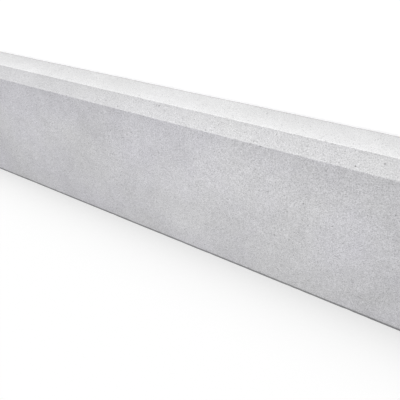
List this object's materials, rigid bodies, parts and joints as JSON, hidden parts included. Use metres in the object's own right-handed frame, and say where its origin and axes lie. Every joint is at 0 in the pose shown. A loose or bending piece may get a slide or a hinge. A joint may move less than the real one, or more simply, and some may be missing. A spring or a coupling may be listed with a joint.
{
  "type": "concrete gravel board",
  "caption": "Long straight concrete gravel board with a small weather chamfer along its top edge, for closing the gap between the ground and a fence panel.",
  "frame": {"origin": "centre of the back face, on which the board lies", "axes": "+X along the board, -Y towards the top edge with the chamfer, +Y towards the ground edge, +Z out of the fair face"},
  "size_m": [1.83, 0.15, 0.05],
  "materials": {
    "concrete": "matte"
  },
  "bodies": {
    "root": {"gravel_board": "concrete"}
  },
  "joints": []
}
